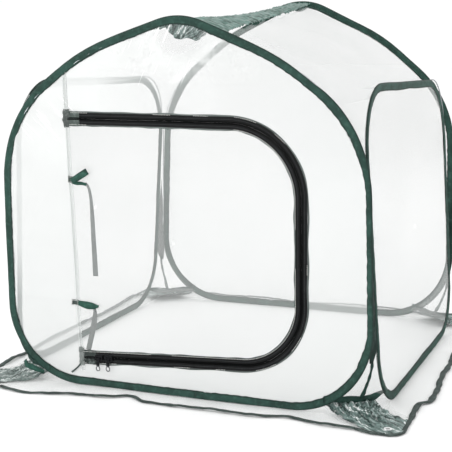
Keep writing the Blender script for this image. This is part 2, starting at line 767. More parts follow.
# ---- declared sheets ----
# The least flat width of a sheet, and the least share of width by length that its area may be.
NARROWEST = 0.0101
LEAST_SHARE = 0.31


def sheet(obj, width, length, held, rests_on=(), area=None):
    """Declares a sheet. Bands narrower than the least flat width are given by their area."""
    if area is None and width < NARROWEST:
        area = max(width, LEAST_SHARE * NARROWEST) * length
    max(width, NARROWEST)
    list(rests_on)
    return obj


# ---- sleeves ----
FOLD_SECTION = [
    (-1.0, 0.75), (-0.75, 0.95), (-0.45, 1.15), (-0.15, 1.6), (0.1, 2.3), (0.35, 2.75), (0.6, 2.6),
    (0.8, 1.9), (0.94, 1.0), (1.0, 0.0),
]


def rolled_in(name, line, out):
    """Where the front's right side has its sleeve rolled round the wire, its inner half is narrower."""
    if name != "front" or out > 0:
        return 1.0
    x, z = line.T
    upright = smooth((z - 0.105) / 0.05) * smooth((0.50 - z) / 0.12)
    return 1 - 0.66 * np.where(x > 0, upright, 0)


def add_sleeve(name, seed):
    """Cloth folded round the wire, its two lips sewn to the film on the inner side."""
    outline = OUTLINES[name]
    place = WALLS[name]
    line = resample(outline, 0.0045, True)
    normal = outward(line, True)
    travelled = np.arange(len(line)) * path_length(line, True) / len(line)
    wide = 1 + 0.05 * ripple(seed, 0.14)(travelled)
    drift = 0.35 * MM * ripple(seed + 1, 0.2)(travelled)
    columns = []
    across = []
    for lip in (1, -1):
        side = FOLD_SECTION if lip > 0 else FOLD_SECTION[-2::-1]
        for out, thick in side:
            inner = max(0.0, -out)
            pucker = 0.45 * MM * inner * ripple(seed + 2 + lip, 0.013)(travelled)
            wrinkle = 0.25 * MM * ripple(seed + 5 + lip, 0.03)(travelled, out * 0.02)
            reach = out * SLEEVE * wide * rolled_in(name, line, out) + drift + pucker
            flat = line + normal * reach[:, None]
            columns.append(place(flat[:, 0], -lip * (thick * MM + wrinkle), flat[:, 1]))
            across.append(out * SLEEVE)
    points = np.stack(columns, 1)
    uv = np.zeros((*points.shape[:2], 2))
    uv[..., 0] = travelled[:, None]
    uv[..., 1] = across
    obj = grid(f"{name}_sleeve_cloth", points, SLEEVE_GREEN, "woven_green", closed=True, uv=uv)
    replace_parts(obj, f"{name}_sleeve")
    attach(obj, name)
    length = path_length(line, True)
    width = float(np.linalg.norm(np.diff(points[0], axis=0), axis=1).sum())
    return sheet(obj, width, length, "stretched", [f"{name}_wire"])


def finish_node(name, material):
    """The look of a CAD piece that stays as it is."""
    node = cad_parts[name]
    node.data.materials.clear()
    node.data.materials.append(material)


for index, wall_name in enumerate(WALLS):
    add_sleeve(wall_name, 10 + 20 * index)
    finish_node(f"{wall_name}_wire", STEEL)


def add_overlap_stitches():
    """The stitches across the front sleeve, where its two ends overlap."""
    steps = np.linspace(-0.8, 0.8, 9)[:, None]
    foot = np.array((0.0293, 0.0, FOOT[1]))
    spots = foot + steps * np.array((0.0015, 0, SLEEVE)) - np.array((0, HALF_DEPTH + 0.0036, 0))
    axis = np.tile((0.12, 0, 1.0), (len(spots), 1))
    beside = np.tile((1.0, 0, 0), (len(spots), 1))
    look = DARK_THREAD, "woven_green"
    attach(studs("front_sleeve_overlap", spots, axis, beside, 0.0012, 0.0009, 0.0008, *look), "front")


add_overlap_stitches()


# ---- wall films ----
def edge_fade(outline, reach):
    """0 at the outline and 1 further in than reach, by distance to the outline."""
    corners = resample(outline, 0.012, True)

    def fade(x, z):
        spots = np.stack([x, z], -1)
        gap = np.full(x.shape, 1.0)
        for corner in corners:
            gap = np.minimum(gap, np.linalg.norm(spots - corner, axis=-1))
        return smooth(gap / reach), gap

    return fade


def wall_height(name, seed, bow):
    """Out-of-plane shape of a wall film: a slack belly, folds from the edge and soft waves."""
    outline = OUTLINES[name]
    centre = outline.mean(0)
    fade = edge_fade(outline, 0.16)
    belly = ripple(seed, 0.45)
    soft = ripple(seed + 1, 0.16)
    sharp = creases(seed + 2, 0.34, 4)
    rays = random.Random(seed + 3)
    phases = [(rays.uniform(0, TAU), rays.choice((17, 23, 31, 39))) for _ in range(3)]

    def height(x, z):
        open_share, gap = fade(x, z)
        bearing = np.arctan2(z - centre[1], x - centre[0])
        pleats = sum(np.sin(bearing * k + phase) for phase, k in phases) / 2
        near = np.exp(-gap / 0.035) * smooth(gap / 0.012)
        slack = bow * open_share * (0.6 + 0.4 * belly(x, z))
        waves = open_share * (0.0012 * soft(x, z) + 0.0022 * sharp(x, z))
        return slack + waves + 0.0011 * near * pleats

    return height


HEIGHTS = {
    "front": wall_height("front", 101, -0.003),
    "right": wall_height("right", 121, -0.004),
    "back": wall_height("back", 141, -0.003),
    "left": wall_height("left", 161, -0.004),
}


def seam_x(z):
    return SEAM_FOOT - SEAM_LEAN * z


def zip_path():
    z = ZIP_CORNERS
    corners = [
        (seam_x(z["left"]) + ZIP_START, z["left"], 0),
        (z["x"], z["right"], ZIP_RADII[0]),
        (z["x"], z["top"], ZIP_RADII[1]),
        (seam_x(z["top"]) + ZIP_START, z["top"], 0),
    ]
    return rounded_path(corners, closed=False)


ZIP = resample(zip_path(), 0.004, False)
ZIP_OUT = outward(ZIP, False)


def beside_zip(offset):
    """A line beside the middle of the zip, outwards from the door."""
    return ZIP + ZIP_OUT * np.broadcast_to(offset, len(ZIP))[:, None]


def door_edge(offset, hinge=0.0):
    """The closed outline of the door, with its curve offset from the zip's middle."""
    curve = beside_zip(offset)
    low, high = curve[0, 1], curve[-1, 1]
    ends = [(seam_x(low) + hinge, low)], [(seam_x(high) + hinge, high)]
    return resample(np.vstack([ends[0], curve, ends[1]]), 0.005, True)


def add_wall_film(name):
    outline = OUTLINES[name]
    line = resample(outline, 0.007, True)
    inside = line - outward(line, True) * 0.001
    if name == "front":
        hole = door_edge(FILM_FROM_ZIP)
        obj = disc("front_film_sheet", inside, WALLS[name], HEIGHTS[name], FRONT_FILM, "clear_film",
                   rings=22, centre=hole.mean(0), hole=hole, columns=420)
        area = area_of(inside) - area_of(hole)
    else:
        obj = disc(f"{name}_film_sheet", inside, WALLS[name], HEIGHTS[name], FILM, "clear_film", rings=46)
        area = area_of(inside)
    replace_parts(obj, f"{name}_film")
    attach(obj, name)
    width, height = np.ptp(inside, 0)
    obj.visible_shadow = False
    return sheet(obj, float(width), float(height), "stretched", [f"{name}_sleeve_cloth"], area)


for wall_name in WALLS:
    add_wall_film(wall_name)


# ---- the door: film, zip, sliders and pulls ----
def on_front(flat, forward):
    """Points on the front wall, that far in front of its film's own shape."""
    x, z = flat[..., 0], flat[..., 1]
    return WALLS["front"](x, HEIGHTS["front"](x, z) - forward, z)


def front_way(flat):
    """Directions given in the front wall's plane, as directions in space."""
    front = WALLS["front"]
    return front(flat[:, 0], 0, flat[:, 1]) - front(0, 0, 0)


def add_door_film():
    edge = door_edge(-FILM_FROM_ZIP)
    surface = WALLS["front"], HEIGHTS["front"]
    obj = disc("door_film_sheet", edge, *surface, FILM, "clear_film", rings=40, columns=240)
    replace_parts(obj, "door_film")
    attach(obj, "door")
    obj.visible_shadow = False
    width, height = np.ptp(edge, 0)
    return sheet(obj, float(width), float(height), "hung", ["front_film_sheet"], area_of(edge))


add_door_film()


def zip_band(name, body, near, far, forward, thickness, material, slot, wobble=0.0, seed=0):
    """A band beside the zip, from near to far, at a height in front of the film."""
    travelled = np.linspace(0, path_length(ZIP), len(ZIP))
    middle = (near + far) / 2 + wobble * ripple(seed, 0.05)(travelled)
    line = on_front(beside_zip(middle), forward)
    obj = ribbon(name, line, front_way(ZIP_OUT), abs(far - near), thickness, material, slot)
    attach(obj, body)
    return sheet(obj, abs(far - near), path_length(line), "stretched", [f"{body}_film_sheet"])


# The door's side is inside the curve and the wall's side is outside it.
ZIP_SIDES = (("front", 1, "panel"), ("door", -1, "door"))
for body, side, cad in ZIP_SIDES:
    edges = [side * edge for edge in TAPE_EDGES]
    tape = zip_band(f"{body}_zip_tape", body, *edges, TAPE_FORWARD, 0.0007, TAPE_BLACK, "zip_tape")
    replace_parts(tape, f"zip_tape_{cad}")
    edges = [side * edge for edge in BINDING_EDGES]
    look = EDGE_FILM, "clear_film", 0.0007, 210 + side
    zip_band(f"{body}_zip_binding", body, *edges, BINDING_FORWARD, 0.0006, *look)


def along_zip(pitch, offset):
    """Evenly spaced spots beside the zip's middle, with the directions along it and outwards."""
    line = resample(ZIP, pitch, False)
    normal = outward(line, False)
    flat = line + normal * offset
    run = np.stack([-normal[:, 1], normal[:, 0]], 1)
    return flat, run, normal


def add_coil(name, body, side):
    """Nylon teeth: one small bar for each turn of the coil, with the two sides half a turn apart."""
    flat, run, normal = along_zip(TEETH_PITCH, side * TEETH_FROM_MIDDLE)
    if side < 0:
        flat = flat + run * TEETH_PITCH / 2
    rows = on_front(flat, TEETH_FORWARD), front_way(normal), front_way(run)
    obj = studs(name, *rows, *TEETH_SIZE, COIL_BLACK, "zip_coil")
    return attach(obj, body)


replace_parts(add_coil("front_zip_teeth", "front", 1), "zip_coil_panel")
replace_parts(add_coil("door_zip_teeth", "door", -1), "zip_coil_door")


def add_zip_stitches(name, body, offset, pitch, material, gaps, seed):
    """A row of stitches along the zip, loose or sunk in where gaps says."""
    flat, run, _ = along_zip(pitch, offset)
    travelled = np.arange(len(flat)) * pitch
    shown = ripple(seed, 0.09)(travelled) > gaps
    beside = np.stack([-run[:, 1], run[:, 0]], 1)
    rows = [row[shown] for row in (on_front(flat, 0.0017), front_way(run), front_way(beside))]
    obj = studs(name, *rows, 0.72 * pitch, 0.0008, 0.0005, material, "zip_tape")
    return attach(obj, body)


ALL_SHOWN = -9
add_zip_stitches("door_zip_stitch_white", "door", -0.0109, 0.0030, WHITE_THREAD, -0.35, 221)
add_zip_stitches("front_zip_stitch_white", "front", 0.0109, 0.0032, WHITE_THREAD, 0.5, 222)
add_zip_stitches("front_zip_stitch_dark", "front", 0.0062, 0.0030, SEAM_THREAD, ALL_SHOWN, 223)
add_zip_stitches("door_zip_stitch_dark", "door", -0.0062, 0.0030, SEAM_THREAD, ALL_SHOWN, 224)


def front_sheet(name, body, low, high, forward, crumple, seed, material, slot, held="stretched"):
    """A small piece of cloth or film on the front wall, from corner low to corner high (along, up)."""
    columns = max(6, round((high[0] - low[0]) / 0.0011))
    rows = max(6, round((high[1] - low[1]) / 0.0011))
    rough = creases(seed, 0.012, 6)
    edge = ripple(seed + 1, 0.01)
    x = np.linspace(low[0], high[0], columns)[None, :] + np.zeros((rows, 1))
    z = np.linspace(low[1], high[1], rows)[:, None] + np.zeros((1, columns))
    x = x + crumple * 0.5 * edge(z * 1.0, x * 0.3)
    z = z + crumple * 0.4 * edge(x * 1.0, z * 0.3)
    points = on_front(np.stack([x, z], -1), forward + crumple * (0.5 + 0.5 * rough(x, z)))
    obj = grid(name, points, material, slot)
    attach(obj, body)
    return sheet(obj, high[0] - low[0], high[1] - low[1], held, ["front_film_sheet"])


for name, z, low_reach, high_reach in (
    ("top", ZIP_CORNERS["top"], 0.0135, 0.0135),
    ("bottom", ZIP_CORNERS["left"], 0.0130, 0.0150),
):
    seam = seam_x(z)
    for body, bottom, top in (("front", z, z + high_reach), ("door", z - low_reach, z)):
        if name == "bottom":
            bottom, top = (z - low_reach, z) if body == "front" else (z, z + high_reach)
        tab = (seam + 0.002, bottom), (seam + (0.027 if name == "top" else 0.031), top)
        cloth = TAB_GREY if name == "top" else TAB_DARK
        front_sheet(f"zip_tab_{name}_{body}", body, *tab, 0.0016, 0.0003, 230, cloth, "strap_grey")
    frill = (seam - 0.006, z - low_reach - 0.003), (seam + 0.006, z + high_reach + 0.004)
    piece = front_sheet(f"zip_frill_{name}", "front", *frill, 0.0012, 0.0026, 240, FRILL, "clear_film")
    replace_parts(piece, f"zip_stop_{name}")


def rounded_box(half_length, half_width, radius, centre=(0, 0), taper=0.0):
    a, b = half_length, half_width
    nose = b * (1 - taper)
    corners = [(-a, -nose, radius), (a, -b, radius), (a, b, radius), (-a, nose, radius)]
    return resample(rounded_path(corners, step=math.radians(15)), 0.0006, True) + np.array(centre)


def turned(outline, angle):
    c, s = math.cos(angle), math.sin(angle)
    return outline @ np.array(((c, s), (-s, c)))


def add_slider(name, x):
    """A zip slider: two plates joined by a post, a bridge over the top and a pull on a ring."""
    run = ZIP[12] - ZIP[4]
    angle = math.atan2(run[1], run[0])
    z = np.interp(x, ZIP[:40, 0], ZIP[:40, 1])
    body, pull = f"slider_{name}", f"pull_{name}"

    def place(along, inwards, up):
        return WALLS["front"](along + x, inwards, up + z)

    shell = turned(rounded_box(*SLIDER_HALF, 0.0018, taper=0.35), angle)
    for part, low, high in SLIDER_PLATES:
        piece = bevelled(f"{body}_{part}", shell, place, low, high, 0.0003, BLACK_METAL, "zip_slider")
        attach(piece, body)
        if part == "front_plate":
            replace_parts(piece, body)
    post = turned(rounded_box(0.0022, 0.0014, 0.0006, (-0.0058, 0)), angle)
    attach(bevelled(f"{body}_post", post, place, *SLIDER_CORE, 0.0002, BLACK_METAL, "zip_slider"), body)
    for index, beside in enumerate((0.0046, -0.0046)):
        flange = turned(rounded_box(0.0078, 0.0006, 0.0003, (0.0004, beside)), angle)
        lip = bevelled(f"{body}_lip_{index}", flange, place, *SLIDER_CORE, 0.0002, BLACK_METAL, "zip_slider")
        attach(lip, body)
    guide = [(-0.006, 0.0050), (-0.0052, 0.0080), (0.0, 0.0086), (0.0048, 0.0080), (0.0056, 0.0050)]
    arch = smooth_line(guide, 0.0008)
    flat = turned(np.stack([arch[:, 0], np.zeros(len(arch))], 1), angle)
    line = place(flat[:, 0], -arch[:, 1], flat[:, 1])
    across = -math.sin(angle), 0, math.cos(angle)
    bridge = ribbon(f"{body}_bridge", line, across, 0.0026, 0.0009, BLACK_METAL, "zip_slider")
    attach(bridge, body)

    bar = rounded_box(0.0033, 0.0078, 0.0014, (0, -0.0078))
    piece = bevelled(f"{pull}_bar", bar, place, 0.0066, 0.0078, 0.0003, BLACK_METAL, "zip_pull")
    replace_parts(piece, pull)
    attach(piece, pull)
    centre = place(np.array(0.0), np.array(-0.0072), np.array(-0.0200))
    plane = (1, 0, 0), (0, 0, 1)
    loop = ring_tube(f"{pull}_ring", centre, *plane, 0.0038, 0.0009, PULL_METAL, "zip_pull", 1.15)
    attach(loop, pull)


for slider_name, slider_x in SLIDER_X.items():
    add_slider(slider_name, slider_x)


# ---- hinge seam: a doubled strip of film between two rows of stitches ----
def add_seam():
    z = np.linspace(*SEAM_ENDS, 160)
    middle = np.stack([seam_x(z) - 0.001 * np.sin(math.pi * np.clip(z / 0.35, 0, 1)), z], 1)
    line = on_front(middle, 0.0004)
    strip = ribbon("door_seam_strip", line, (1, 0, 0), SEAM_STRIP, 0.0003, SEAM_FILM, "clear_film")
    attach(strip, "front")
    sheet(strip, SEAM_STRIP, path_length(line), "stretched", ["front_film_sheet"])
    for name, shift in (("outer", -0.0034), ("inner", 0.0030)):
        spots = resample(middle + np.array((shift, 0)), 0.0032, False)
        run = np.tile((-SEAM_LEAN, 0, 1.0), (len(spots), 1))
        beside = np.tile((1.0, 0, 0), (len(spots), 1))
        size = 0.0025, 0.0009, 0.0005
        rows = on_front(spots, 0.0008), run, beside
        stitches = studs(f"door_seam_stitch_{name}", *rows, *size, SEAM_WHITE, "clear_film")
        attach(stitches, "front")


add_seam()


# ---- ties that hold the rolled-up door ----
def tie_strap(name, body, guide, width, material, slot, held, nodes=()):
    """A strap on the front wall through guide points (along, forward, up)."""
    line = smooth_line(guide)
    flat = line[:, [0, 2]]
    points = on_front(flat, line[:, 1])
    run = np.gradient(points, axis=0)
    across = np.cross(run, (0, 1, 0))
    share = np.linspace(0, 1, len(points))
    widths = np.interp(share, np.linspace(0, 1, len(width)), width)
    obj = ribbon(name, points, across, widths, TIE_THICK, material, slot)
    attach(obj, body)
    if nodes:
        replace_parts(obj, *nodes)
    return sheet(obj, float(np.mean(widths)), path_length(points), held, ["front_film_sheet"])


def tie_box(name, x, z, width, height):
    """The stitched box that sews a tie to the hinge seam."""
    low, high = (x - width / 2, z - height / 2), (x + width / 2, z + height / 2)
    piece = front_sheet(name, "front", low, high, 0.0020, 0.0009, 261, TAB_GREY, "woven_green")
    corners = np.array([low, (high[0], low[1]), high, (low[0], high[1])])
    centre = corners.mean(0)
    path = resample(centre + (corners - centre) * 0.8, 0.0022, True)
    run = heading(path, True)
    axis = np.stack([run[:, 0], np.zeros(len(run)), run[:, 1]], 1)
    beside = np.stack([-run[:, 1], np.zeros(len(run)), run[:, 0]], 1)
    size, look = (0.0017, 0.0007, 0.0005), (WHITE_THREAD, "woven_green")
    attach(studs(f"{name}_stitch", on_front(path, 0.0042), axis, beside, *size, *look), "front")
    return piece


def add_ties():
    tie_box("tie_box_top", -0.2155, 0.3965, 0.0125, 0.0120)
    green, grey = (TIE_GREEN, "woven_green"), (STRAP_GREY, "strap_grey")
    loop = [
        (-0.214, 0.004, 0.3950), (-0.204, 0.009, 0.3985), (-0.191, 0.011, 0.4060), (-0.178, 0.010, 0.4140),
        (-0.177, 0.006, 0.4140), (-0.191, 0.0045, 0.4055), (-0.204, 0.0035, 0.3980), (-0.213, 0.003, 0.3945),
    ]
    widths = [0.009, 0.011, 0.0115, 0.0115, 0.0115, 0.011, 0.009]
    tie_strap("tie_top_loop", "door", loop, widths, *green, "folded", ["tie_top_outer"])
    tail = [(-0.212, 0.003, 0.3930), (-0.202, 0.004, 0.3900), (-0.192, 0.003, 0.3905), (-0.1845, 0.0, 0.3875)]
    tie_strap("tie_top_tail", "door", tail, [0.009, 0.0075, 0.006, 0.005], *green, "folded")
    drop = [
        (-0.188, -0.002, 0.3905), (-0.181, -0.0025, 0.384), (-0.1775, -0.003, 0.362),
        (-0.1765, -0.003, 0.320), (-0.1752, -0.003, 0.260), (-0.1740, -0.003, 0.2145),
    ]
    widths = [0.005, 0.0065, 0.009, 0.0095, 0.0105, 0.011]
    tie_strap("tie_top_strap", "tie_top", drop, widths, *grey, "hung", ["tie_top_inner"])
    tie_box("tie_box_bottom", -0.2147, 0.1625, 0.0155, 0.0100)
    flap = [
        (-0.209, 0.003, 0.1625), (-0.196, 0.0055, 0.1605), (-0.182, 0.006, 0.1590),
        (-0.1645, 0.005, 0.1588), (-0.1650, 0.003, 0.1582), (-0.176, 0.002, 0.1575),
    ]
    widths = [0.0095, 0.0125, 0.0150, 0.0125, 0.004, 0.006]
    tie_strap("tie_bottom_loop", "door", flap, widths, *green, "folded", ["tie_bottom_outer"])
    drop = [
        (-0.177, -0.002, 0.154), (-0.1755, -0.0025, 0.14), (-0.1815, -0.003, 0.113), (-0.193, -0.003, 0.07),
    ]
    widths = [0.005, 0.011, 0.0115, 0.011, 0.0105]
    tie_strap("tie_bottom_strap", "tie_bottom", drop, widths, *grey, "hung", ["tie_bottom_inner"])
    tail = [(-0.204, 0.001, 0.048), (-0.211, 0.002, 0.039), (-0.22, 0.002, 0.03), (-0.228, 0.003, 0.024)]
    tie_strap("zip_end_tail", "front", tail, [0.005, 0.0035, 0.003, 0.004], HEM_GREEN, "woven_green", "hung")


add_ties()


# ---- roof films, corners and ridge ----
EDGE_INSET = 0.0036


def behind_hoop(x, z, side_y):
    return np.array((x, side_y * (HALF_DEPTH - EDGE_INSET), z))


def beside_hoop(side_x, y, z, inset=0.0):
    return np.array((side_x * (SIDE_X - math.tan(SIDE_LEAN) * z - inset), y, z))


# The outer edge of a side hoop's sleeve, which the corner films are sewn to.
SIDE_RIM = OUTLINES["right"] + outward(OUTLINES["right"], True) * 0.009


def house_hoop(side_y):
    return OUTLINES["front" if side_y < 0 else "back"]


def corner_edges(side_x, side_y, house_z, side_z):
    """Where a corner's film meets its house hoop and its side hoop, at a height on each."""
    outline = house_hoop(side_y)
    house = behind_hoop(crossing(outline, house_z, side_x), house_z, side_y)
    side = beside_hoop(side_x, crossing(SIDE_RIM, side_z, side_y), side_z)
    return house, side


def side_top(side_y):
    return (SIDE_FRONT if side_y < 0 else SIDE_BACK)["height"] - ROOF_CORNER_DROP


def ridge_point(side, t):
    """A point of the ridge strip, from its left edge (-1) to its right (1), front (0) to back (1)."""
    side = side * (1 - RIDGE_PINCH * math.sin(math.pi * t) ** 0.7)
    front = behind_hoop(side * RIDGE_FRONT, top_at(OUTLINES["front"], side * RIDGE_FRONT), -1)
    back = behind_hoop(side * RIDGE_BACK, top_at(OUTLINES["back"], side * RIDGE_BACK), 1)
    return front + (back - front) * t - np.array((0, 0, RIDGE_SAG * math.sin(math.pi * t)))


def roof_eave(side_x, t):
    """The lower edge of a roof film, along the top of the side hoop from front (0) to back (1)."""
    front = crossing(OUTLINES["right"], side_top(-1), -1)
    back = crossing(OUTLINES["right"], side_top(1), 1)
    y = front + (back - front) * t
    return beside_hoop(side_x, y, top_at(OUTLINES["right"], y), EDGE_INSET)


def roof_end(side_x, side_y, s):
    """The front or back edge of a roof film, from the ridge (0) to the side hoop (1)."""
    outline = house_hoop(side_y)
    corner, _ = corner_edges(side_x, side_y, ROOF_MEETS_HOOP, side_top(side_y))
    side = roof_eave(side_x, (side_y + 1) / 2)
    # The last eighth or so of the roof's edge crosses from the house hoop to the side hoop.
    share = 0.88
    if s > share:
        return corner + (side - corner) * (s - share) / (1 - share)
    start = side_x * (RIDGE_FRONT if side_y < 0 else RIDGE_BACK)
    x = start + (corner[0] - start) * s / share
    return behind_hoop(x, top_at(outline, x), side_y)


def add_roof_film(name, side_x, seed):
    """A film spanned between its four edges, with folds, gathers at the ridge and a little sag."""
    count = 44
    soft, sharp = ripple(seed, 0.2), creases(seed + 1, 0.16, 5)
    steps = np.linspace(0, 1, count)
    ends = {side_y: [roof_end(side_x, side_y, s) for s in steps] for side_y in (-1, 1)}
    ridge = [ridge_point(side_x, t) for t in steps]
    eave = [roof_eave(side_x, t) for t in steps]
    points = np.zeros((count, count, 3))
    for i, s in enumerate(steps):
        for j, t in enumerate(steps):
            point = ends[-1][i] * (1 - t) + ends[1][i] * t + ridge[j] * (1 - s) + eave[j] * s
            near = ridge[0] * (1 - s) + ends[-1][-1] * s
            far = ridge[-1] * (1 - s) + ends[1][-1] * s
            point = point - near * (1 - t) - far * t
            free = 16 * s * (1 - s) * t * (1 - t)
            rim = 4 * t * (1 - t)
            fold = 0.004 * free * soft(point[0], point[1]) + 0.004 * free**0.5 * sharp(point[0], point[1])
            gather = 0.0022 * math.exp(-s / 0.22) * rim * math.sin(t * 46 + 3 * math.sin(9 * s))
            point[2] += fold + gather - 0.006 * free
            points[i, j] = point
    obj = grid(f"{name}_sheet", points, ROOF_FILM, "clear_film")
    obj.visible_shadow = False
    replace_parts(obj, name)
    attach(obj, "ridge")
    flat = [path_length(points[:, count // 2]), path_length(points[count // 2])]
    sheet(obj, flat[0], flat[1], "hung", ["front_sleeve_cloth", "back_sleeve_cloth", "ridge_strip_cloth"])
    return obj


def add_ridge():
    """A pleated woven strip that tapers from the front hoop's slopes to the back peak."""
    rows, columns = 190, 41
    pleat, cross = ripple(301, 0.05), ripple(302, 0.014)
    points = np.zeros((rows, columns, 3))
    for i, t in enumerate(np.linspace(0, 1, rows)):
        for j, s in enumerate(np.linspace(-1, 1, columns)):
            point = ridge_point(s, t)
            phase = TAU * t * 19 + 2.6 * float(pleat(t * 0.69, s * 0.05)) + 1.4 * s
            edge = 0.30 + 0.70 * abs(s) ** 2
            gathered = 0.0042 * edge * abs(math.sin(phase)) + 0.0012 * float(cross(t * 0.69, s * 0.06))
            point[2] += gathered + 0.0018
            points[i, j] = point
    obj = grid("ridge_strip_cloth", points, RIDGE_GREEN, "ridge_green")
    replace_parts(obj, "ridge_strip")
    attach(obj, "ridge")
    widths = (RIDGE_FRONT + RIDGE_BACK) * 1.05
    sheet(obj, widths, 2 * HALF_DEPTH, "gathered", ["front_sleeve_cloth", "back_sleeve_cloth"])
    return obj


def add_gather(name, side_y, low, high, drop, seed):
    """The bunched end of the ridge strip, tucked down inside the peak of a hoop."""
    outline = house_hoop(side_y)
    rows, columns = 24, 70
    folds = creases(seed, 0.016, 6, ahead=0.35, turns=(-0.4, 0.4))
    ragged = ripple(seed + 1, 0.03)
    points = np.zeros((rows, columns, 3))
    for j, x in enumerate(np.linspace(low, high, columns)):
        share = (x - low) / (high - low)
        reach = drop * (math.sin(math.pi * min(1, share * 1.02)) ** 0.7) * (1 + 0.10 * float(ragged(x)))
        top = top_at(outline, x) - 0.004
        for i, down in enumerate(np.linspace(0, 1, rows)):
            z = top - max(reach, 0.003) * down
            inwards = 0.007 + 0.003 * down + 0.0032 * (0.3 + down) * float(folds(x, z))
            points[i, j] = (x, side_y * (HALF_DEPTH - inwards), z)
    obj = grid(name, points, GATHER_GREEN, "ridge_green")
    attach(obj, "ridge")
    depth = float(np.mean([path_length(points[:, j]) for j in range(columns)]))
    return sheet(obj, depth, path_length(points[rows // 2]), "gathered", ["ridge_strip_cloth"])


ridge_pieces = [
    add_ridge(),
    add_gather("ridge_gather_front", -1, -0.026, 0.060, 0.032, 340),
    add_gather("ridge_gather_back", 1, -0.022, 0.022, 0.012, 350),
    add_roof_film("roof_film_left", -1, 310),
    add_roof_film("roof_film_right", 1, 330),
]


CORNERS = {"fr": (1, -1), "fl": (-1, -1), "br": (1, 1), "bl": (-1, 1)}
BLENDS = {"fr": ("front", "right"), "fl": ("front", "left"), "br": ("back", "right")}


def corner_out(key):
    """The level direction out of a corner, halfway between its two walls."""
    return np.array((*CORNERS[key], 0)) / math.sqrt(2)


def attach_corner(obj, key):
    """The corner's cloth bends between the two walls it joins.
    The back left one is at the open end of the chain, and rides on its own body."""
    side_x, side_y = CORNERS[key]
    if key not in BLENDS:
        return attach(obj, "corner_bl")
    house = (side_x * BLEND_HOUSE[0], side_y * BLEND_HOUSE[1], BLEND_HEIGHT)
    side = (side_x * BLEND_SIDE[0], side_y * BLEND_SIDE[1], BLEND_HEIGHT)
    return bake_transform(obj, *BLENDS[key], start=house, end=side)


def add_gusset(key, seed):
    """The clear film that closes the gap between two hoops, from the ground to the roof."""
    side_x, side_y = CORNERS[key]
    rows, columns = 90, 15
    folds = creases(seed, 0.07, 5)
    long_folds = ripple(seed + 1, 0.03)
    out = corner_out(key)
    points = np.zeros((rows, columns, 3))
    for i, t in enumerate(np.linspace(0, 1, rows)):
        house_z = GUSSET_FOOT + (ROOF_MEETS_HOOP - GUSSET_FOOT) * t
        side_z = GUSSET_FOOT + (side_top(side_y) - GUSSET_FOOT) * t
        house, side = corner_edges(side_x, side_y, house_z, side_z)
        for j, s in enumerate(np.linspace(0, 1, columns)):
            free = 4 * s * (1 - s)
            fold = 0.0018 * folds(house_z, s * 0.05) + 0.0012 * long_folds(s * 0.04, house_z * 0.1)
            points[i, j] = house + (side - house) * s + out * free * (float(fold) - 0.001)
    obj = grid(f"corner_{key}_gusset_sheet", points, LOOSE, "clear_film")
    obj.visible_shadow = False
    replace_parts(obj, f"corner_{key}_gusset")
    attach_corner(obj, key)
    widest = max(np.linalg.norm(points[:, -1] - points[:, 0], axis=1))
    length = path_length(points[:, 7])
    area = float(np.linalg.norm(points[:, -1] - points[:, 0], axis=1).mean() * length)
    area = max(area, LEAST_SHARE * widest * length)
    return sheet(obj, widest, length, "stretched", ["front_sleeve_cloth"], area)


for index, key in enumerate(CORNERS):
    add_gusset(key, 400 + 10 * index)


# ---- skirts and hems ----
def bump_at(x, middle, width):
    return np.exp(-(((x - middle) / width) ** 2))


def front_reach(x):
    """How far the front skirt lies out from its hoop: pulled in and let out along its length."""
    let_out = 0.027 * bump_at(x, -0.285, 0.075)
    pulled_in = 0.021 * bump_at(x, -0.089, 0.024) + 0.015 * bump_at(x, 0.222, 0.040)
    return 0.0530 + let_out - pulled_in


def right_reach(y):
    """The same for the right skirt, which steps out behind the front corner."""
    step = 0.0125 * smooth((y + 0.243) / 0.020) * (1 - 0.8 * smooth((y + 0.19) / 0.16))
    return 0.0520 - 0.003 * bump_at(y, -0.262, 0.02) + step - 0.006 * smooth(y / 0.10)


def plain_reach(seed):
    waver = ripple(seed, 0.22, 5)
    return lambda along: 0.0540 + 0.006 * waver(along)


REACHES = {"front": front_reach, "right": right_reach, "back": plain_reach(561), "left": plain_reach(562)}
HEM_WIDTH = 0.0082


def ground_place(name):
    turn = {"front": 0, "right": math.pi / 2, "back": math.pi, "left": -math.pi / 2}[name]
    return wall(turn, HALF_DEPTH if name in ("front", "back") else SIDE_X)


def hem_band(name, line, across, width=HEM_WIDTH):
    """Cloth tape folded over the film's edge: stiff, so that it turns in short straight runs."""
    kinks = ripple(len(name) * 7, 0.022)
    travelled = np.linspace(0, path_length(line), len(line))
    wide = width * (1 + 0.14 * kinks(travelled))
    return ribbon(name, line, across, wide, HEM_THICK, HEM_GREEN, "woven_green", folded=True)


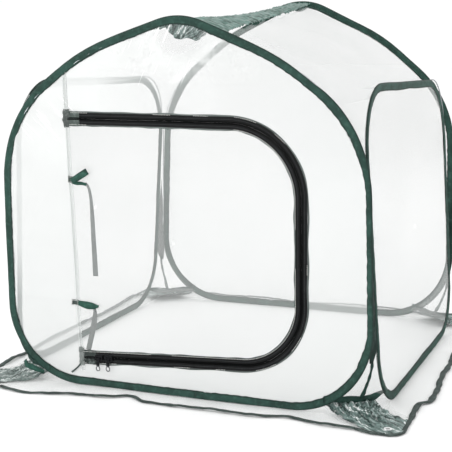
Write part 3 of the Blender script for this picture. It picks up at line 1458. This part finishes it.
def add_skirt(name, half, seed):
    """The film flap on the ground and its bound edge."""
    rows, columns = 150, 16
    place = ground_place(name)
    lift, sharp = ripple(seed + 1, 0.1), creases(seed + 2, 0.05)
    along = np.linspace(-half, half, rows)
    jog = creases(seed + 3, 0.08, 3)
    reach = REACHES[name](along) + 0.0011 * jog(along)
    share = np.linspace(0, 1, columns)
    p = np.repeat(along[:, None], columns, 1)
    out = share[None, :] * (reach[:, None] + 0.003) - 0.003
    rise = 0.0014 + 0.0012 * smooth(share * 2)[None, :] * (1 + lift(p, out)) + 0.0011 * np.abs(sharp(p, out))
    points = place(p, -out, rise)
    obj = grid(f"{name}_skirt_sheet", points, LOOSE, "clear_film")
    obj.visible_shadow = False
    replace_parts(obj, f"{name}_skirt")
    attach(obj, name)
    sheet(obj, SKIRT, 2 * half, "laid", [f"{name}_hem_band"])
    origin = place(np.array(0.0), np.array(0.0), np.array(0.0))
    outer = place(np.array(0.0), np.array(-1.0), np.array(0.0)) - origin
    lifted = 0.0006 * (1 + lift(along, 0.3))[:, None] * np.array((0, 0, 1.0))
    line = points[:, -1] + outer * 0.002 + lifted
    width = HEM_WIDTH * (1.3 if name in ("left", "right") else 0.95)
    band = hem_band(f"{name}_hem_band", line, outer, width)
    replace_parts(band, f"{name}_hem")
    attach(band, name)
    sheet(band, 2 * width, path_length(line), "laid")
    return line


HEMS = {}
for index, wall_name in enumerate(WALLS):
    half = SKIRT_ACROSS if wall_name in ("front", "back") else SKIRT_ALONG
    HEMS[wall_name] = add_skirt(wall_name, half, 500 + 10 * index)


# ---- corners on the ground ----
def corner_outer(key):
    """The rounded edge of a corner's flap, from the front or back skirt's hem to the side's."""
    side_x, side_y = CORNERS[key]
    across, along = ("front" if side_y < 0 else "back"), ("right" if side_x > 0 else "left")
    goals = {across: (side_x * SKIRT_ACROSS, side_y * 0.4), along: (side_x * 0.42, side_y * SKIRT_ALONG)}
    ends = []
    for name, goal in goals.items():
        line = HEMS[name]
        near = min((0, -1), key=lambda k: np.hypot(line[k, 0] - goal[0], line[k, 1] - goal[1]))
        ends.append(line[near, :2])
    start, stop = ends
    tip = (side_x * CORNER_TIP[0], side_y * CORNER_TIP[1])
    corners = [(*start, 0), (side_x * CORNER_TURN, tip[1], 0.03), (*tip, 0.024), (*stop, 0)]
    return resample(rounded_path(corners, closed=False), 0.002, False)


def corner_feet(key, z):
    """The two hoops' edges at a corner, both at one height."""
    side_x, side_y = CORNERS[key]
    return corner_edges(side_x, side_y, z, z)


def corner_surface(key, low_t, high_t, rows, columns, lift, crumple, seed):
    """Points of the flap from the band at the foot of a corner out to its edge, over part of its width."""
    side_x, side_y = CORNERS[key]
    outer = corner_outer(key)
    inner_from, inner_to = corner_feet(key, FLAP_FOOT)
    rough, fine = creases(seed, 0.020, 7), creases(seed + 1, 0.009, 6)
    eyelet = np.array((side_x * EYELET[0], side_y * EYELET[1]))
    points = np.zeros((rows, columns, 3))
    for i, s in enumerate(np.linspace(0, 1, rows)):
        for j, u in enumerate(np.linspace(0, 1, columns)):
            low = low_t[0] + (low_t[1] - low_t[0]) * s
            high = high_t[0] + (high_t[1] - high_t[0]) * s
            t = low + (high - low) * u
            inner = inner_from + (inner_to - inner_from) * t
            k = t * (len(outer) - 1)
            edge = np.array([np.interp(k, np.arange(len(outer)), outer[:, axis]) for axis in (0, 1)])
            flat = inner[:2] + (edge - inner[:2]) * s
            fall = max(0.0, 1 - s / 0.5)
            height = 0.0016 + 0.019 * fall**2
            calm = smooth(abs(np.hypot(*(flat - eyelet)) - 0.002) / 0.016)
            free = crumple * calm * (1 - 0.75 * smooth(s)) * min(1, 6 * s + 0.25)
            bumps = abs(float(rough(*flat))) + 0.5 * abs(float(fine(*flat)))
            points[i, j] = (flat[0], flat[1], height + lift + free * bumps)
    return points


def add_corner(key, seed):
    """Everything sewn to a corner's foot: the flap, its crumpled patch, its hem, its band and its piping."""
    side_x, side_y = CORNERS[key]
    points = corner_surface(key, (0, 0), (1, 1), 26, 60, 0.0, 0.0022, seed)
    obj = grid(f"corner_{key}_skirt_sheet", points, LOOSE, "clear_film")
    obj.visible_shadow = False
    pierce(obj, key)
    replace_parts(obj, f"corner_{key}_skirt")
    attach_corner(obj, key)
    flat = path_length(points[:, 30]), path_length(points[13])
    sheet(obj, *flat, "laid", ["front_sleeve_cloth"])

    points = corner_surface(key, (0.02, 0.20), (0.80, 0.90), 44, 64, 0.0006, 0.0052, seed + 5)
    cloth = PATCH_SILVER if key == "fl" else PATCH_TEAL
    patch = grid(f"corner_{key}_patch", points, cloth, "woven_green")
    pierce(patch, key)
    attach_corner(patch, key)
    flat = path_length(points[:, 32]), path_length(points[22])
    sheet(patch, *flat, "gathered", [f"corner_{key}_skirt_sheet"])

    edge = corner_outer(key)
    line = np.column_stack([edge, np.full(len(edge), 0.0028)])
    normal = outward(edge, False) * (1 if side_x * side_y < 0 else -1)
    hem = hem_band(f"corner_{key}_hem", line, np.column_stack([normal, np.zeros(len(edge))]), CORNER_HEM)
    attach_corner(hem, key)
    sheet(hem, 2 * CORNER_HEM, path_length(line), "laid", [f"corner_{key}_skirt_sheet"])

    low, high = corner_feet(key, BAND_FOOT)
    out = corner_out(key)
    share = np.linspace(-0.10, 0.99, 40)[:, None]
    waver = 0.0012 * ripple(seed + 7, 0.03)(share * 0.1)
    bow = out * (0.004 * np.sin(math.pi * np.clip(share, 0, 1)) + waver)
    droop = np.array((0, 0, 1.0)) * (0.006 * smooth((share - 0.72) / 0.28) - 0.003 * np.sin(math.pi * share))
    line = low + (high - low) * share + bow + droop
    uneven = 1 + 0.12 * ripple(seed + 8, 0.03)(share[:, 0] * 0.1)
    widths = BAND_WIDTH * uneven * (1 - 0.45 * smooth((share[:, 0] - 0.8) / 0.19))
    look = BAND_GREEN, "woven_green"
    band = ribbon(f"corner_{key}_band_cloth", line, (0, 0, 1), widths, BAND_THICK, *look, folded=True)
    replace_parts(band, f"corner_{key}_band")
    attach_corner(band, key)
    sheet(band, 2 * BAND_WIDTH, path_length(line), "stretched", ["front_sleeve_cloth"])

    guide = []
    # Heights from the top of the piping down, the share of the gap it hangs at, and how far out it stands.
    drop = (
        (0.108, 0.62, 0.001), (0.090, 0.60, 0.003), (0.068, 0.56, 0.004),
        (0.050, 0.52, 0.006), (0.038, 0.54, 0.006), (0.024, 0.55, 0.006),
    )
    for z, share, forward in drop:
        low, high = corner_feet(key, z)
        guide.append(low + (high - low) * share + out * forward)
    line = smooth_line(guide, 0.002)
    across = corner_feet(key, 0.06)[1] - corner_feet(key, 0.06)[0]
    share = np.linspace(0, 1, len(line))
    widths = 0.0042 + 0.0036 * bump_at(share, 0.84, 0.14) + 0.0008 * ripple(seed + 9, 0.012)(share * 0.09)
    piping = ribbon(f"corner_{key}_piping_cloth", line, across, widths, PIPING_THICK, *look)
    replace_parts(piping, f"corner_{key}_piping")
    attach_corner(piping, key)
    sheet(piping, float(widths.mean()), path_length(line), "stretched", [f"corner_{key}_gusset_sheet"])


def add_joint_strip(key, seed):
    """Cloth that joins the two hoops' sleeves where they run side by side."""
    rows, columns = 70, 8
    pucker = creases(seed, 0.02, 5)
    side_x, side_y = CORNERS[key]
    out = corner_out(key)
    points = np.zeros((rows, columns, 3))
    for i, t in enumerate(np.linspace(0, 1, rows)):
        z = JOINT_FOOT + JOINT_RISE * t
        house, side = corner_edges(side_x, side_y, z, z)
        reach = smooth((1 - t) / 0.35) * smooth((t + 0.05) / 0.2)
        middle = (house + side) / 2
        for j, s in enumerate(np.linspace(-0.5, 0.5, columns)):
            span = (side - house) * s * (0.10 + 0.75 * reach)
            points[i, j] = middle + span + out * (0.0035 + 0.0008 * float(pucker(z, s * 0.03)))
    obj = grid(f"corner_{key}_joint_cloth", points, JOINT_GREEN, "woven_green")
    attach_corner(obj, key)
    widths = np.linalg.norm(points[:, -1] - points[:, 0], axis=1)
    length = path_length(points[:, 4])
    flat_area = float(widths.mean() * length)
    return sheet(obj, float(widths.max()), length, "stretched", [f"corner_{key}_gusset_sheet"], flat_area)


def add_knot(key, seed):
    """A short doubled end of the corner band, bunched up in front of the hoop."""
    side_x, side_y = CORNERS[key]
    guide = [
        (0.323, 0.364, 0.041), (0.317, 0.369, 0.034), (0.308, 0.370, 0.032), (0.297, 0.367, 0.028),
        (0.284, 0.361, 0.021),
    ]
    line = smooth_line([(side_x * x, side_y * y, z) for x, y, z in guide], 0.002)
    share = np.linspace(0, 1, len(line))
    widths = 0.0075 + 0.0035 * np.sin(math.pi * share) + 0.001 * ripple(seed, 0.012)(share * 0.08)
    look = TIE_GREEN, "woven_green"
    knot = ribbon(f"corner_{key}_knot", line, (0.25, 0.2, 1.0), widths, KNOT_THICK, *look)
    attach_corner(knot, key)
    return sheet(knot, 0.0105, path_length(line), "folded", [f"corner_{key}_band_cloth"])


def pierce(obj, key):
    """Opens the peg hole under the eyelet."""
    side_x, side_y = CORNERS[key]
    hole = np.array((side_x * EYELET[0], side_y * EYELET[1]))
    shape = bmesh.new()
    shape.from_mesh(obj.data)
    inside = [f for f in shape.faces if math.hypot(*(np.array(f.calc_center_median()[:2]) - hole)) < PEG_HOLE]
    bmesh.ops.delete(shape, geom=inside, context="FACES")
    shape.to_mesh(obj.data)
    shape.free()


for index, key in enumerate(CORNERS):
    add_corner(key, 600 + 20 * index)
    add_joint_strip(key, 700 + index)
add_knot("fl", 740)


# ---- ridge pieces fold flat with the ridge ----
for piece in ridge_pieces:
    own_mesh(piece)


# ---- finish of the CAD pieces that stay ----
for key in CORNERS:
    finish_node(f"corner_{key}_eyelet", EYELET_WHITE)


# ---- camera, floor and light ----
CAMERA_TURN = (0.3845, 0.18, -0.0095)
CAMERA_AT = (0.8402, -2.1976, 0.6894)
LENS = 91.41
FLOOR_HALF = 14.0
# Name, place, what it is aimed at, width and height, and power.
LIGHTS = (
    ("key", (-1.6, -2.6, 2.2), (0, 0, 0.3), (1.6, 1.6), 20),
    ("strip", (-1.9, -3.6, 0.7), (0, 0, 0.35), (0.5, 1.4), 22),
    ("rear", (1.5, 2.6, 1.8), (0, 0, 0.4), (1.2, 1.2), 14),
)


def add_camera():
    yaw, pitch, roll = CAMERA_TURN
    forward = Vector((-math.sin(yaw) * math.cos(pitch), math.cos(yaw) * math.cos(pitch), -math.sin(pitch)))
    level = Vector((math.cos(yaw), math.sin(yaw), 0))
    up = level.cross(forward)
    right = math.cos(roll) * level + math.sin(roll) * up
    upright = math.cos(roll) * up - math.sin(roll) * level
    data = bpy.data.cameras.new("camera")
    data.sensor_width = 36
    data.lens = LENS
    camera = place_in_scene("camera", data)
    camera.matrix_world = Matrix((right, upright, -forward)).transposed().to_4x4()
    camera.location = CAMERA_AT
    bpy.context.scene.camera = camera


def add_floor():
    s = Shader("floor_white", roughness=0.9, specular=0.1)
    s.link(s.mix(s.noise(3.0, 2.0), colour("fcfcfc"), colour("f8f8f8")), "Base Color")
    uv = [(0, 0), (1, 0), (1, 1), (0, 1)]
    corners = np.array([((2 * u - 1) * FLOOR_HALF, (2 * v - 1) * FLOOR_HALF, 0) for u, v in uv], float)
    floor = mesh_object("floor", corners, np.array([(0, 1, 2, 3)]), uv, s.material)
    floor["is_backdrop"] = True


def add_light(name, location, target, size, power):
    data = bpy.data.lights.new(name, "AREA")
    data.shape = "RECTANGLE"
    data.size, data.size_y = size
    data.energy = power
    light = place_in_scene(name, data)
    light.location = location
    aim = Vector(target) - Vector(location)
    light.rotation_euler = aim.to_track_quat("-Z", "Y").to_euler()
    light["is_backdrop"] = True


def add_overhead():
    """A very soft light from above that brings the floor up to the backdrop's white."""
    data = bpy.data.lights.new("overhead", "SUN")
    data.energy = 0.2
    data.angle = math.radians(120)
    light = bpy.data.objects.new("overhead", data)
    light.location = (0, 0, 3)
    bpy.context.scene.collection.objects.link(light)
    light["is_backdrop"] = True


def add_world():
    world = bpy.data.worlds.new("studio")
    world.use_nodes = True
    background = world.node_tree.nodes["Background"]
    background.inputs["Color"].default_value = (1, 1, 1, 1)
    background.inputs["Strength"].default_value = 1.02
    bpy.context.scene.world = world


add_camera()
add_floor()
add_world()
add_overhead()
for light in LIGHTS:
    add_light(*light)
bpy.context.scene.view_settings.view_transform = "Standard"

boxes = {"cad": size_before, "visual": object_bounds()}
{name: [list(corner) for corner in box] for name, box in boxes.items()}
